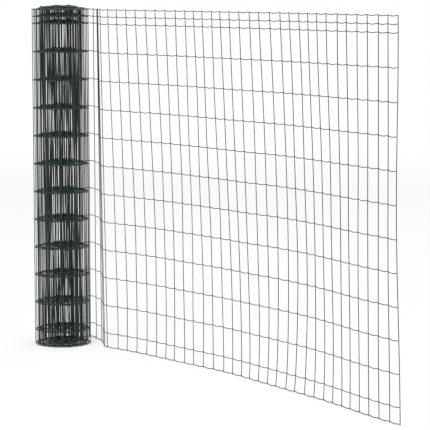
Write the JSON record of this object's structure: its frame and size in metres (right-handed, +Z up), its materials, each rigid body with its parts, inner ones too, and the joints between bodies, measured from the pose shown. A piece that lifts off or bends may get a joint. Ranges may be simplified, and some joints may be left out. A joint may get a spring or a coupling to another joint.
{
  "type": "roll of wire fencing",
  "caption": "Upright roll of green plastic-coated welded wire fencing, partly unrolled: wound turns round a hollow core and a free-standing length of rectangular mesh.",
  "frame": {"origin": "on the floor at the roll's axis", "axes": "+Z up along the roll's axis, +X along the unrolled sheet away from the roll, +Y to the side on which the sheet leaves the roll"},
  "size_m": [1.8222, 0.255, 1.217],
  "materials": {
    "wound_mesh": "satin",
    "coated_wire": "satin"
  },
  "bodies": {
    "root": {"wound_roll": "wound_mesh", "peel_stretch": "coated_wire", "return_stretch": "coated_wire", "sheet_near": "coated_wire", "sheet_middle": "coated_wire", "sheet_end": "coated_wire"}
  },
  "joints": []
}
